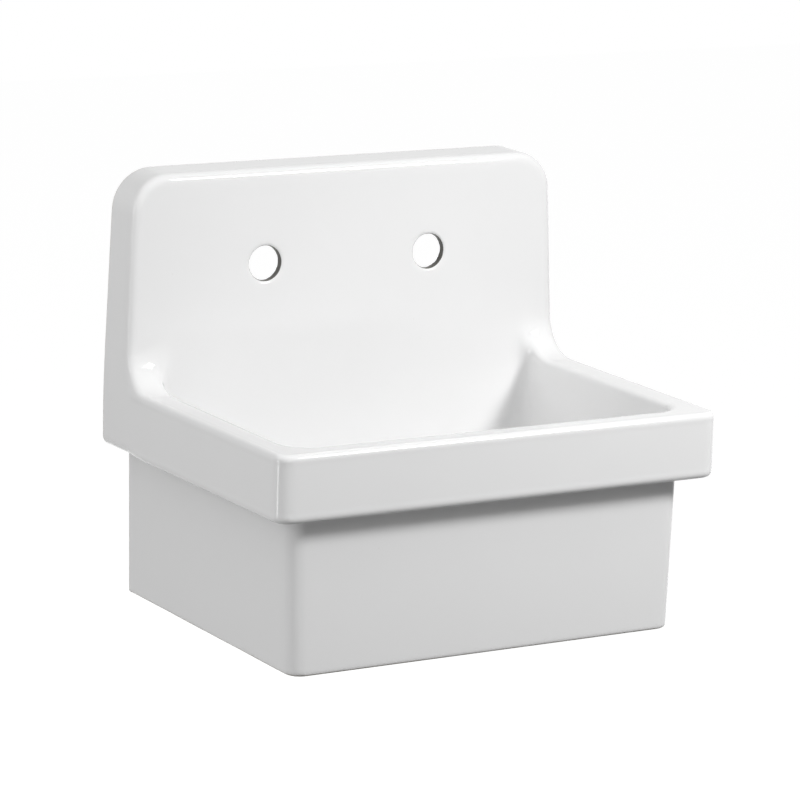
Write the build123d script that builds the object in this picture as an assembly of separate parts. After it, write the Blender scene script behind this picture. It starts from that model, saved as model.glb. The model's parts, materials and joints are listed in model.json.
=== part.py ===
from build123d import *
import math
import os

# Wall-mounted utility sink. Millimetres, +Z up, +X to the right of someone facing the sink.
# The origin is on the wall plane (Y = 0), in the middle of the hanger's screws, level with the rim.
# The sink stands out from the wall towards -Y.

# China casting: rim and front lip
rim_width_wall = 537.0
rim_width_front = 526.0
rim_depth = 398.0
rim_height = 71.0
rim_border = 33.0
rim_corner_r = 18.0
outer_roll_r = 10.0
inner_roll_r = 9.0
lip_under_r = 11.0

# China casting: splashback
splash_height = 230.0
splash_top_width = 517.0
splash_foot_depth = 56.5
splash_top_depth = 51.0
splash_corner_r = 45.0
side_blend_length = 32.6
cove_r = 45.0

# China casting: faucet holes
faucet_spacing = 203.2
faucet_hole_r = 19.05
faucet_hole_height = 126.0
faucet_edge_r = 1.5

# China casting: basin
basin_depth = 152.0
mouth_depth = 20.0
basin_corner_r = 28.0
basin_rear_r = 15.0
basin_foot_corner_r = 34.0
basin_floor_r = 22.0
side_draft = 6.0
front_draft = 9.0
china_wall = 10.0
floor_wall = 14.0

# China casting: apron below the rim
apron_drop = 240.0
apron_setback = 27.5
apron_flare = 1.5
apron_front_draft = 5.0
apron_rear_draft = 2.0
apron_corner_r = 18.0
apron_foot_r = 3.0
apron_root_r = 5.0

# China casting: drain seat
drain_from_wall = 205.0
dish_r = 118.0
dish_depth = 3.0
drain_hole_r = 45.0

# China casting: hanging rib behind the splashback
rib_width = 260.0
rib_thick = 12.0
hook_thick = 11.0
hook_length = 24.0
hook_from_wall = 6.0

# China casting: lower lugs
lug_width = 46.0
lug_height = 48.0
lug_thick = 12.0
lug_above_foot = 6.0
lug_hole_r = 6.5

# Wall hanger, a formed steel rail
hanger_width = 250.0
hanger_thick = 3.0
hanger_below = 30.0
hanger_shelf_z = 36.0
hanger_lip_rise = 16.0
hanger_lip_gap = 4.0
hanger_bend_r = 2.0
hanger_screws_apart_x = 192.0
hanger_screws_apart_z = 26.0

# Wall screws
screw_r = 4.0
screw_thread_r = 3.5
screw_thread_out = 1.0
screw_head_r = 7.5
screw_head_height = 5.5
screw_in_wall = 45.0
screw_tip_length = 6.0
screw_tip_r = 1.0
screw_hole_play = 1.0
washer_r = 11.0
washer_thick = 1.6
washer_play = 0.3
cushion_r = 12.0
cushion_thick = 3.0

# Drain: cup
flange_r = 57.0
flange_thick = 1.6
flange_recess_play = 1.5
cup_outer_r = 42.5
cup_wall = 1.6
ledge_depth = 12.0
ledge_width = 2.4
cup_depth = 45.0
cup_floor_thick = 2.5
cup_foot_chamfer = 5.0
neck_outer_r = 23.9
neck_bore_r = 20.5
neck_length = 18.0
spider_arm = 4.0
spider_thick = 3.0
spider_hub_r = 6.5

# Drain: rings below and above the basin floor
flange_gasket_thick = 2.0
under_gasket_thick = 4.0
friction_ring_thick = 1.5
ring_outer_r = 56.0
ring_play = 0.3
locknut_height = 10.0
locknut_outer_r = 53.0
locknut_lugs = 8
locknut_lug_rise = 5.0
locknut_lug_width = 12.0
thread_play = 0.05

# Drain: basket and stopper
basket_play = 0.6
seat_gap = 0.3
basket_wall = 1.2
basket_depth = 22.0
basket_taper = 3.0
basket_hole_r = 2.2
basket_ring_radii = (13.0, 21.0, 29.0)
basket_ring_holes = (8, 14, 20)
basket_side_holes = 18
guide_wall = 2.0
guide_height = 15.0
guide_flange = 2.5
guide_flange_thick = 1.5
post_r = 2.5
post_play = 0.06
post_tail = 8.0
disc_r = 27.0
disc_thick = 4.5
disc_washer_r = 12.0
disc_washer_thick = 1.0
clip_r = 5.0
clip_thick = 1.0
knob_r = 10.0
knob_height = 14.0
knob_waist_r = 6.0
knob_waist_height = 4.5
knob_flare_height = 5.0
knob_edge = 1.8
knob_bore_depth = 7.0

# Drain: outlet
tailpiece_r = 19.05
tailpiece_wall = 1.2
tailpiece_length = 49.0
tailpiece_flange_r = 22.8
tailpiece_flange_thick = 1.6
tailpiece_shoulder = 0.35
tailpiece_shoulder_length = 3.4
tailpiece_washer_thick = 2.5
coupling_wall = 4.5
coupling_height = 23.0
coupling_flats = 6
coupling_floor = 3.0

# How far cuts run past a face, and how near a point lies to the place that picks it out
over = 2.0
near = 1.0

# Sizes that follow from the ones above
half_wall = rim_width_wall / 2
half_front = rim_width_front / 2
side_taper = math.degrees(math.atan((half_wall - half_front) / rim_depth))
outline_foot = -rim_height - 2 * abs(half_wall - half_front) - over
basin_half = half_front - rim_border
basin_front = rim_depth - rim_border
face_lean = (splash_foot_depth - splash_top_depth) / splash_height
drain_top = -basin_depth - dish_depth
floor_under = drain_top - floor_wall
recess_depth = flange_thick + flange_gasket_thick
seat_z = drain_top - cup_depth
neck_end = seat_z - cup_floor_thick - neck_length
tail_top = neck_end - tailpiece_washer_thick
basket_rim_z = drain_top - ledge_depth + seat_gap
basket_foot_z = basket_rim_z - basket_depth
basket_rim_r = cup_outer_r - cup_wall - basket_play
basket_top_r = cup_outer_r - cup_wall - ledge_width - basket_play
basket_foot_r = basket_top_r - basket_taper
guide_bore = post_r + post_play
guide_outer = guide_bore + guide_wall
disc_foot_z = seat_z + seat_gap
knob_foot_z = basket_foot_z + guide_height + seat_gap


def face_y(z):
    """Y of the splashback's front face, and of the basin's rear wall below it, at a height."""
    return -(splash_foot_depth - face_lean * z)


def solid_of(shape):
    """The one solid that a piece consists of."""
    solids = shape.solids()
    if len(solids) != 1:
        raise ValueError(f"expected one solid, found {len(solids)}")
    return solids[0]


def rounded(solid, radius, wanted):
    """The solid with those edges rounded that a test picks out."""
    return solid_of(solid.fillet(radius, solid.edges().filter_by(wanted)))


def box_between(low, high):
    """A box from its lowest to its highest corner."""
    size = [b - a for a, b in zip(low, high)]
    return Pos(*[(a + b) / 2 for a, b in zip(low, high)]) * Box(*size)


def upright(radius, low, high, x=0.0, y=0.0):
    """A cylinder along Z from one height to another."""
    return Pos(x, y, (low + high) / 2) * Cylinder(radius, high - low)


def towards_wall(radius, front, rear, x, z):
    """A cylinder along Y from its front to its rear."""
    return Pos(x, (front + rear) / 2, z) * Rot(90, 0, 0) * Cylinder(radius, rear - front)


def tube(outer, inner, low, high):
    """A ring about the Z axis."""
    return upright(outer, low, high) - upright(inner, low - over, high + over)


def at_drain(shape):
    """Move a drain piece, modelled on the Z axis, to the drain's place in the basin."""
    return Pos(0, -drain_from_wall, 0) * shape


def turned(points):
    """A solid of revolution about Z from its half section, given as (radius, height) points."""
    section = Plane.XZ * make_face(Polyline(*points, close=True))
    return revolve(section, Axis.Z)


def sharp_edges(solid, least=30.0):
    """Edges where two faces meet at more than a given angle."""
    found = []
    for edge in solid.edges():
        middle = edge @ 0.5
        beside = [face for face in solid.faces() if any(edge.is_same(other) for other in face.edges())]
        if len(beside) == 2:
            angle = beside[0].normal_at(middle).get_angle(beside[1].normal_at(middle))
            if angle > least:
                found.append(edge)
    return found


def side_view():
    """Side view of splashback, cove and rim, as one closed face in the YZ plane."""
    points = [
        (0, splash_height),
        (face_y(splash_height), splash_height),
        (face_y(0), 0),
        (-rim_depth, 0),
        (-rim_depth, -rim_height),
        (0, -rim_height),
    ]
    face = make_face(Polyline(*points, close=True))
    corner = face.vertices().sort_by_distance((face_y(0), 0, 0))[0]
    return Plane.YZ * fillet(corner, cove_r)


def front_view(inset=0.0, foot=outline_foot):
    """Front outline of splashback and rim sides, in the XZ plane, drawn in by an inset.

    The foot lies low enough to stay below the rim when a tapered extrusion draws the outline in.
    """
    top = splash_height - inset
    half_top = splash_top_width / 2 - inset
    half = half_wall - inset
    points = [(-half, foot), (half, foot), (half, 0), (half_top, top), (-half_top, top), (-half, 0)]
    face = make_face(Polyline(*points, close=True))
    corners = face.vertices().filter_by(lambda v: v.Y > top - near)
    face = fillet(corners, splash_corner_r - inset)
    bends = face.vertices().filter_by(lambda v: abs(v.Y) < near)
    turn = math.atan(abs(half - half_top) / top)
    return Plane.XZ * fillet(bends, side_blend_length / math.tan(turn / 2))


def plan(half_rear, half_ahead, rear, front, z, front_r, rear_r=0.0):
    """A four-sided plan with rounded front corners, and rounded rear ones if asked."""
    points = [(-half_rear, rear), (half_rear, rear), (half_ahead, front), (-half_ahead, front)]
    face = make_face(Polyline(*points, close=True))
    fronts = face.vertices().filter_by(lambda v: abs(v.Y - front) < near)
    face = fillet(fronts, front_r)
    if rear_r:
        rears = face.vertices().filter_by(lambda v: abs(v.Y - rear) < near)
        face = fillet(rears, rear_r)
    return Pos(0, 0, z) * face


def outer_form():
    """Splashback, coves and rim with their rolled edges, still without the basin."""
    seen_from_side = extrude(side_view(), half_wall + over, both=True)
    seen_from_front = extrude(front_view(), rim_depth + over, taper=side_taper)
    form = solid_of(seen_from_side & seen_from_front)
    form = rounded(
        form,
        rim_corner_r,
        lambda e: abs((e @ 0.5).Y + rim_depth) < near and abs((e @ 0).Z - (e @ 1).Z) > rim_height / 2,
    )
    upper = [e for e in sharp_edges(form) if (e @ 0.5).Y < -near and (e @ 0.5).Z > near - rim_height]
    form = solid_of(form.fillet(outer_roll_r, upper))
    under = [e for e in sharp_edges(form) if (e @ 0.5).Y < -near and (e @ 0.5).Z < near - rim_height]
    return solid_of(form.fillet(lip_under_r, under))


def apron_form(inset=0.0, top=-rim_height / 2, foot=-apron_drop, rear=0.0):
    """The tapered apron below the rim, or the space inside it when drawn in by an inset."""
    half_ahead = half_front - apron_setback - inset
    half_rear = half_ahead + apron_flare
    front = -(rim_depth - apron_setback) + inset
    radius = apron_corner_r - inset
    slope_ahead = apron_front_draft / (apron_drop - rim_height)
    slope_rear = apron_rear_draft / (apron_drop - rim_height)

    def level(z):
        drop = -rim_height - z
        return plan(half_rear - slope_rear * drop, half_ahead - slope_ahead * drop, rear, front, z, radius)

    return solid_of(loft([level(top), level(foot)], ruled=True))


def basin_space():
    """The room inside the basin: an upright mouth above walls that draw in towards the floor."""
    mouth_foot = -mouth_depth
    mouth_top = cove_r + over

    def level(z, side_in=0.0, front_in=0.0, front_r=basin_corner_r, rear_r=basin_rear_r):
        half = basin_half - side_in
        return plan(half, half, face_y(z), -basin_front + front_in, z, front_r, rear_r)

    floor = level(-basin_depth, side_draft, front_draft, basin_foot_corner_r, basin_foot_corner_r)
    mouth = loft([level(mouth_top), level(mouth_foot)], ruled=True)
    bowl = solid_of(loft([level(mouth_foot), floor], ruled=True))
    return mouth + rounded(bowl, basin_floor_r, lambda e: abs((e @ 0.5).Z + basin_depth) < near)


def roll_section():
    """What the inner roll takes off a square corner at the mouth, in the XZ plane at the left wall."""
    outside = Pos(basin_half + (inner_roll_r - over) / 2, (over - inner_roll_r) / 2)
    square = outside * Rectangle(inner_roll_r + over, inner_roll_r + over)
    kept = Pos(basin_half + inner_roll_r, -inner_roll_r) * Circle(inner_roll_r)
    return square - kept


def inner_roll():
    """The rounding of the basin's mouth: along the sides, up the coves, round the corners and the front."""
    cove_y = face_y(0) - cove_r
    straight_end = -basin_front + basin_corner_r
    corner_x = basin_half - basin_corner_r
    section = Plane.XZ * roll_section()
    side = extrude(Pos(0, cove_y, 0) * section, cove_y - straight_end)
    cove = revolve(Pos(0, cove_y, 0) * section, Axis((0, cove_y, cove_r), (1, 0, 0)), 90)
    ahead = box_between((0, -rim_depth, -cove_r), (half_wall, face_y(0), cove_r))
    corner = revolve(Pos(0, straight_end, 0) * section, Axis((corner_x, straight_end, 0), (0, 0, 1)), -90)
    front_section = Plane.YZ * mirror(Pos(basin_front - basin_half, 0) * roll_section(), Plane.YZ)
    front = extrude(front_section, corner_x, both=True)
    half = side + (cove & ahead) + corner
    return half + mirror(half, Plane.YZ) + front


def hollow():
    """The open space behind the splashback and under the basin."""
    top = splash_height - china_wall
    step = china_wall - rim_height
    foot = -apron_drop - over
    points = [
        (over, top),
        (face_y(top) + china_wall, top),
        (face_y(floor_under) + china_wall, floor_under),
        (-rim_depth, floor_under),
        (-rim_depth, foot),
        (over, foot),
    ]
    from_side = extrude(Plane.YZ * make_face(Polyline(*points, close=True)), half_wall, both=True)
    upper = extrude(Pos(0, over, 0) * front_view(china_wall, step), rim_depth)
    lower = apron_form(china_wall, top=step + over, foot=foot, rear=over)
    return from_side & (upper + lower)


def drain_seat():
    """Dish in the basin floor, recess for the flange and hole for the cup."""
    recess_r = flange_r + flange_recess_play
    dish = turned(
        [
            (0, drain_top),
            (recess_r, drain_top),
            (dish_r, -basin_depth),
            (dish_r, -basin_depth + over),
            (0, -basin_depth + over),
        ]
    )
    recess = upright(recess_r, drain_top - recess_depth, drain_top + over)
    return at_drain(dish + recess + upright(drain_hole_r, floor_under - over, drain_top))


def hanging_rib():
    """The shelf and hook behind the splashback that hang on the wall rail."""
    half = rib_width / 2
    rib_z = hanger_shelf_z + hook_length
    front = face_y(rib_z) + china_wall / 2
    shelf = box_between((-half, front, rib_z), (half, -hook_from_wall, rib_z + rib_thick))
    hook = box_between(
        (-half, -hook_from_wall - hook_thick, hanger_shelf_z), (half, -hook_from_wall, rib_z + rib_thick)
    )
    return shelf + hook


def lug_place():
    """Middle of the right-hand lower lug, as X and Z."""
    inside = half_front - apron_setback + apron_flare - apron_rear_draft - china_wall
    return inside - lug_width / 2, -apron_drop + lug_above_foot + lug_height / 2


def lugs():
    """The two drilled lugs at the lower rear corners of the apron."""
    x, z = lug_place()
    reach = lug_width / 2
    plate = box_between(
        (x - reach, -lug_thick, z - lug_height / 2), (x + reach + china_wall / 2, 0, z + lug_height / 2)
    )
    right = plate - towards_wall(lug_hole_r, -lug_thick - over, over, x, z)
    return right + mirror(right, Plane.YZ)


def faucet_places():
    """X of the two faucet holes."""
    return -faucet_spacing / 2, faucet_spacing / 2


def is_faucet_mouth(edge):
    """Whether an edge is the front rim of a faucet hole."""
    middle = edge @ 0.5
    from_hole = math.hypot(abs(middle.X) - faucet_spacing / 2, middle.Z - faucet_hole_height)
    in_front = middle.Y < face_y(faucet_hole_height) + china_wall / 2
    return in_front and from_hole < faucet_hole_r + near and edge.length > 2 * faucet_hole_r


def is_apron_foot(edge):
    """Whether an edge runs round the outside of the apron's foot."""
    middle = edge @ 0.5
    outside = half_front - apron_setback - china_wall / 2 - apron_front_draft
    beyond = abs(middle.X) > outside or middle.Y < -basin_front
    level = abs((edge @ 0).Z - (edge @ 1).Z) < near
    return beyond and level and abs(middle.Z + apron_drop) < near and middle.Y < -near


def is_apron_root(edge):
    """Whether an edge runs round the apron where it meets the rim's underside."""
    middle = edge @ 0.5
    level = abs((edge @ 0).Z - (edge @ 1).Z) < near
    inside = abs(middle.X) < half_wall - apron_setback / 2 and middle.Y > -rim_depth + apron_setback / 2
    return level and inside and abs(middle.Z + rim_height) < near and middle.Y < -near


def sink_body():
    """The whole china casting."""
    body = solid_of(outer_form() + apron_form())
    body = solid_of(body - hollow())
    body = solid_of(body + hanging_rib() + lugs())
    body = solid_of(body - basin_space())
    body = solid_of(body - inner_roll())
    body = solid_of(body - drain_seat())
    deep = splash_foot_depth + over
    for x in faucet_places():
        body = body - towards_wall(faucet_hole_r, -deep, -hook_from_wall, x, faucet_hole_height)
    body = rounded(solid_of(body), faucet_edge_r, is_faucet_mouth)
    body = rounded(body, apron_foot_r, is_apron_foot)
    return rounded(body, apron_root_r, is_apron_root)


def screw_places():
    """X and Z of the hanger's four screws."""
    right = hanger_screws_apart_x / 2
    up = hanger_screws_apart_z / 2
    return [(-right, -up), (right, -up), (-right, up), (right, up)]


def wall_hanger():
    """Formed rail: wall leg with screw holes, shelf and upturned lip."""
    under = hanger_shelf_z - hanger_thick
    lip_rear = -hook_from_wall - hook_thick - hanger_lip_gap
    lip_front = lip_rear - hanger_thick
    lip_top = hanger_shelf_z + hanger_lip_rise
    points = [
        (0, -hanger_below),
        (0, hanger_shelf_z),
        (lip_rear, hanger_shelf_z),
        (lip_rear, lip_top),
        (lip_front, lip_top),
        (lip_front, under),
        (-hanger_thick, under),
        (-hanger_thick, -hanger_below),
    ]
    section = make_face(Polyline(*points, close=True))

    for y, z in ((-hanger_thick, under), (lip_rear, hanger_shelf_z)):
        section = fillet(section.vertices().sort_by_distance((y, z, 0))[0], hanger_bend_r)
    for y, z in ((0, hanger_shelf_z), (lip_front, under)):
        section = fillet(section.vertices().sort_by_distance((y, z, 0))[0], hanger_bend_r + hanger_thick)
    rail = extrude(Plane.YZ * section, hanger_width / 2, both=True)
    for x, z in screw_places():
        rail = rail - towards_wall(screw_r + screw_hole_play, -hanger_thick - over, over, x, z)
    return solid_of(rail)


def wall_screw(x, seat, z):
    """A hexagon-head wall screw: plain shank in front of the wall, thread in the wall."""
    shank = towards_wall(screw_r, seat, -screw_thread_out, x, z)
    shank = shank + towards_wall(screw_thread_r, seat, screw_in_wall - screw_tip_length, x, z)
    cone = Cone(screw_thread_r, screw_tip_r, screw_tip_length)
    point = Pos(x, screw_in_wall - screw_tip_length / 2, z) * Rot(-90, 0, 0) * cone
    hexagon = Pos(x, seat, z) * (Plane.XZ * RegularPolygon(screw_head_r, 6))
    return solid_of(shank + point + extrude(hexagon, screw_head_height))


def wall_washer(x, seat, z, outer=washer_r, thick=washer_thick):
    """A flat ring on a wall screw, standing out from its seat."""
    ring = towards_wall(outer, seat - thick, seat, x, z)
    return ring - towards_wall(screw_r + washer_play, seat - thick - over, seat + over, x, z)


def group(pieces):
    """Like pieces kept as separate solids in one node."""
    return Compound(children=[solid_of(piece) for piece in pieces])


def hanger_screws():
    seat = -hanger_thick - washer_thick
    return group([wall_screw(x, seat, z) for x, z in screw_places()])


def hanger_washers():
    return group([wall_washer(x, -hanger_thick, z) for x, z in screw_places()])


def anchors(make):
    """The same piece at both lower lugs."""
    x, z = lug_place()
    return group([make(-x, z), make(x, z)])


def anchor_screws():
    return anchors(lambda x, z: wall_screw(x, -lug_thick - cushion_thick - washer_thick, z))


def anchor_washers():
    return anchors(lambda x, z: wall_washer(x, -lug_thick - cushion_thick, z))


def anchor_cushions():
    return anchors(lambda x, z: wall_washer(x, -lug_thick, z, cushion_r, cushion_thick))


def strainer_body():
    """Drain cup with its flange, basket ledge, outlet neck and post guide."""
    top = drain_top
    under = seat_z - cup_floor_thick
    inner = cup_outer_r - cup_wall
    ledge = inner - ledge_width
    cup = turned(
        [
            (flange_r, top - flange_thick),
            (flange_r, top - flange_thick / 2),
            (flange_r - flange_thick / 2, top),
            (cup_outer_r + flange_thick, top - flange_thick / 2),
            (inner, top - 2 * flange_thick),
            (inner, top - ledge_depth),
            (ledge, top - ledge_depth),
            (ledge, seat_z + cup_floor_thick),
            (ledge - cup_floor_thick, seat_z),
            (neck_bore_r, seat_z),
            (neck_bore_r, neck_end),
            (neck_outer_r, neck_end),
            (neck_outer_r, under),
            (cup_outer_r - cup_foot_chamfer, under),
            (cup_outer_r, under + cup_foot_chamfer),
            (cup_outer_r, top - flange_thick),
        ]
    )
    arm = box_between(
        (-neck_bore_r - cup_wall, -spider_arm / 2, under - spider_thick),
        (neck_bore_r + cup_wall, spider_arm / 2, under),
    )
    spider = arm + Rot(0, 0, 90) * arm + upright(spider_hub_r, under - spider_thick, under)
    bore = upright(post_r + post_play, under - spider_thick - over, under + over)
    return at_drain(solid_of(cup + spider - bore))


def flange_gasket():
    top = drain_top - flange_thick
    return at_drain(tube(flange_r - flange_thick, drain_hole_r, top - flange_gasket_thick, top))


def under_gasket():
    inner = cup_outer_r + ring_play
    return at_drain(tube(ring_outer_r, inner, floor_under - under_gasket_thick, floor_under))


def friction_ring():
    top = floor_under - under_gasket_thick
    return at_drain(tube(ring_outer_r, cup_outer_r + ring_play, top - friction_ring_thick, top))


def locknut():
    """Ring nut with lugs round its rim."""
    top = floor_under - under_gasket_thick - friction_ring_thick
    foot = top - locknut_height
    nut = upright(locknut_outer_r, foot, top)
    lug = box_between(
        (0, -locknut_lug_width / 2, foot), (locknut_outer_r + locknut_lug_rise, locknut_lug_width / 2, top)
    )
    for i in range(locknut_lugs):
        nut = nut + Rot(0, 0, i * 360 / locknut_lugs) * lug
    return at_drain(solid_of(nut - upright(cup_outer_r + thread_play, foot - over, top + over)))


def basket():
    """Perforated lift-out basket that hangs by its rim on the cup's ledge."""
    floor_z = basket_foot_z + basket_wall
    cup = turned(
        [
            (0, basket_foot_z),
            (basket_foot_r, basket_foot_z),
            (basket_top_r, basket_rim_z),
            (basket_rim_r, basket_rim_z),
            (basket_rim_r, basket_rim_z + basket_wall),
            (basket_top_r - basket_wall, basket_rim_z + basket_wall),
            (basket_foot_r - basket_wall, floor_z),
            (0, floor_z),
        ]
    )
    holes = [upright(guide_outer + thread_play, basket_foot_z - over, floor_z + over)]
    for ring_r, count in zip(basket_ring_radii, basket_ring_holes):
        for i in range(count):
            turn = Rot(0, 0, i * 360 / count)
            holes.append(turn * upright(basket_hole_r, basket_foot_z - over, floor_z + over, ring_r))
    middle = (basket_foot_z + basket_rim_z) / 2
    reach = 2 * (basket_wall + basket_taper)
    punch = Pos(basket_foot_r, 0, middle) * Rot(0, 90, 0) * Cylinder(basket_hole_r, reach)
    for i in range(basket_side_holes):
        holes.append(Rot(0, 0, i * 360 / basket_side_holes) * punch)
    return at_drain(solid_of(cup - holes))


def post_guide():
    """Plastic bush in the middle of the basket."""
    floor_z = basket_foot_z + basket_wall
    outer = upright(guide_outer, basket_foot_z, basket_foot_z + guide_height)
    flange = upright(guide_outer + guide_flange, floor_z, floor_z + guide_flange_thick)
    bore = upright(guide_bore, basket_foot_z - over, basket_foot_z + guide_height + over)
    return at_drain(solid_of(outer + flange - bore))


def stopper_post():
    foot = disc_foot_z - clip_thick - post_tail
    return at_drain(upright(post_r, foot, knob_foot_z + knob_bore_depth))


def stopper_knob():
    """Waisted pull knob on the top of the post."""
    top = knob_foot_z + knob_height
    knob = turned(
        [
            (0, knob_foot_z),
            (knob_waist_r, knob_foot_z),
            (knob_waist_r, knob_foot_z + knob_waist_height),
            (knob_r, knob_foot_z + knob_waist_height + knob_flare_height),
            (knob_r, top - knob_edge),
            (knob_r - knob_edge, top),
            (0, top),
        ]
    )
    bore = upright(post_r + thread_play, knob_foot_z - over, knob_foot_z + knob_bore_depth)
    return at_drain(solid_of(knob - bore))


def on_post(radius, low, thick):
    """A ring that sits on the stopper's post."""
    return at_drain(solid_of(tube(radius, post_r + thread_play, low, low + thick)))


def stopper_disc():
    return on_post(disc_r, disc_foot_z, disc_thick)


def stopper_washer():
    return on_post(disc_washer_r, disc_foot_z + disc_thick, disc_washer_thick)


def stopper_clip():
    return on_post(clip_r, disc_foot_z - clip_thick, clip_thick)


def tailpiece_washer():
    return at_drain(tube(neck_outer_r, tailpiece_r, tail_top, neck_end))


def tailpiece():
    """Short flanged outlet tube, with a swaged shoulder where it passes the coupling nut."""
    bore = tailpiece_r - tailpiece_wall
    pipe = tube(tailpiece_r, bore, tail_top - tailpiece_length, tail_top)
    under = tail_top - tailpiece_flange_thick
    collar = tube(tailpiece_flange_r, bore, under, tail_top)
    shoulder = tube(tailpiece_r + tailpiece_shoulder, bore, under - tailpiece_shoulder_length, tail_top)
    return at_drain(solid_of(pipe + collar + shoulder))


def coupling_nut():
    """Hexagon nut that draws the tailpiece up to the neck."""
    floor_top = tail_top - tailpiece_flange_thick
    foot = floor_top - coupling_floor
    across = neck_outer_r + thread_play + coupling_wall
    outline = RegularPolygon(across, coupling_flats, major_radius=False)
    nut = extrude(Pos(0, 0, foot) * outline, coupling_height)
    inside = upright(neck_outer_r + thread_play, floor_top, foot + coupling_height + over)
    hole = upright(tailpiece_r + tailpiece_shoulder + ring_play, foot - over, floor_top + over)
    return at_drain(solid_of(nut - inside - hole))


pieces = [
    sink_body,
    wall_hanger,
    hanger_screws,
    hanger_washers,
    anchor_screws,
    anchor_washers,
    anchor_cushions,
    strainer_body,
    flange_gasket,
    under_gasket,
    friction_ring,
    locknut,
    basket,
    post_guide,
    stopper_knob,
    stopper_post,
    stopper_washer,
    stopper_disc,
    stopper_clip,
    coupling_nut,
    tailpiece_washer,
    tailpiece,
]

os.makedirs("parts", exist_ok=True)
for make in pieces:
    export_step(make(), f"parts/{make.__name__}.step")
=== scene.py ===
import json
import math

import bpy
from bpy.props import FloatProperty, FloatVectorProperty, PointerProperty
from bpy.types import Operator, Panel, PropertyGroup
from mathutils import Matrix, Vector


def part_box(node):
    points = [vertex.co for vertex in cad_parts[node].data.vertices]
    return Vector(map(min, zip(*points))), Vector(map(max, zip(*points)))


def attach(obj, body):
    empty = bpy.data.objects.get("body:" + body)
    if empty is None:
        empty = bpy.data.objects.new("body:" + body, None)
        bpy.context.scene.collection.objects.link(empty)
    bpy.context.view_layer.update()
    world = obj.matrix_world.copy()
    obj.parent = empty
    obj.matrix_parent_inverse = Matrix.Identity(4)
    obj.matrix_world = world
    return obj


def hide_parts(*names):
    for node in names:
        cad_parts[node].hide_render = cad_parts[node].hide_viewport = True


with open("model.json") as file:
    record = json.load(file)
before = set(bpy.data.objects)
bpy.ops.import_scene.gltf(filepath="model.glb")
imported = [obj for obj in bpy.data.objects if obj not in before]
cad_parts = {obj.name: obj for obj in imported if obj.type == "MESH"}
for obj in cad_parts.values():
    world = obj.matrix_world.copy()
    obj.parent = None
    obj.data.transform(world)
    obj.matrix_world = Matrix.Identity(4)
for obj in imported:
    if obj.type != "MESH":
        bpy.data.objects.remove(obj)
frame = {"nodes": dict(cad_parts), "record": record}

bl_info = {
    "name": "Wall-hung utility sink",
    "version": (1, 0, 0),
    "blender": (4, 5, 0),
    "location": "3D View > Sidebar > Sink",
    "description": "Glazed china utility sink with its drain, wall hanger and studio",
    "category": "Object",
}

MM = 0.001
WHITE = (1.0, 1.0, 1.0, 1.0)


def middle_of(node):
    """Middle of a CAD node's box at rest."""
    low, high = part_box(node)
    return (Vector(low) + Vector(high)) / 2


DRAIN = Vector((*middle_of("strainer_body").xy, 0.0))


# What a user would change

def colour(name, about, default):
    return FloatVectorProperty(
        name=name, description=about, subtype="COLOR", size=3, min=0.0, max=1.0, default=default
    )


def factor(name, about, default):
    return FloatProperty(name=name, description=about, subtype="FACTOR", min=0.0, max=1.0, default=default)


def length(name, about, default):
    return FloatProperty(name=name, description=about, unit="LENGTH", precision=5, min=0.0, default=default)


def watts(name, about, default):
    return FloatProperty(name=name, description=about, unit="POWER", min=0.0, default=default)


class SinkChina(PropertyGroup):
    """The china casting and its glaze"""

    glaze: colour("Glaze", "Colour of the glaze", (0.84, 0.84, 0.84))
    clay: colour("Bare clay", "Colour of the unglazed back and foot", (0.72, 0.69, 0.63))
    gloss: factor("Glaze roughness", "Roughness of the fired glaze", 0.045)
    ripple: length("Ripple", "Height of the slow waves in the glaze", 0.00022)
    grain: length("Mesh size", "Size of the squares that the casting's mesh is built from", 0.002)


class SinkMetal(PropertyGroup):
    """Screws, hanger and drain"""

    steel: colour("Steel", "Colour of the polished steel", (0.66, 0.66, 0.67))
    zinc: colour("Zinc", "Colour of the zinc plating", (0.60, 0.61, 0.63))
    plating: colour("Plating", "Colour of the bright plating", (0.64, 0.64, 0.66))
    brass: colour("Brass", "Colour of the cast brass", (0.62, 0.47, 0.22))
    screw_pitch: length("Screw pitch", "Distance between the wall screws' threads", 0.0030)
    drain_pitch: length("Drain pitch", "Distance between the threads on the drain cup", 0.0016)


class SinkSoft(PropertyGroup):
    """Rubber, fibre and plastic"""

    rubber: colour("Rubber", "Colour of the rubber rings", (0.035, 0.035, 0.037))
    fibre: colour("Fibre", "Colour of the fibre ring", (0.42, 0.29, 0.17))
    plastic: colour("Plastic", "Colour of the moulded pieces", (0.80, 0.80, 0.78))


class SinkStudio(PropertyGroup):
    """Lamps and floor"""

    key: watts("Key lamp", "Power of the lamp in front on the right", 37.5)
    strip: watts("Strip lamp", "Power of the tall lamp on the left", 10.5)
    side: watts("Side lamp", "Power of the large lamp on the left in front", 13.0)
    above: watts("Upper lamp", "Power of the large lamp above on the left", 21.0)
    front: watts("Front lamp", "Power of the large lamp above in front", 16.0)
    back: watts("Back lamp", "Power of the low lamp behind", 32.0)
    around: factor("Light around", "Strength of the even light from all sides", 0.08)
    floor: factor("Floor", "How much of the light the floor throws back", 0.14)
    drop: length("Floor drop", "How far the floor lies below the rim", 0.86)


# Shader nodes written as Python

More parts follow.
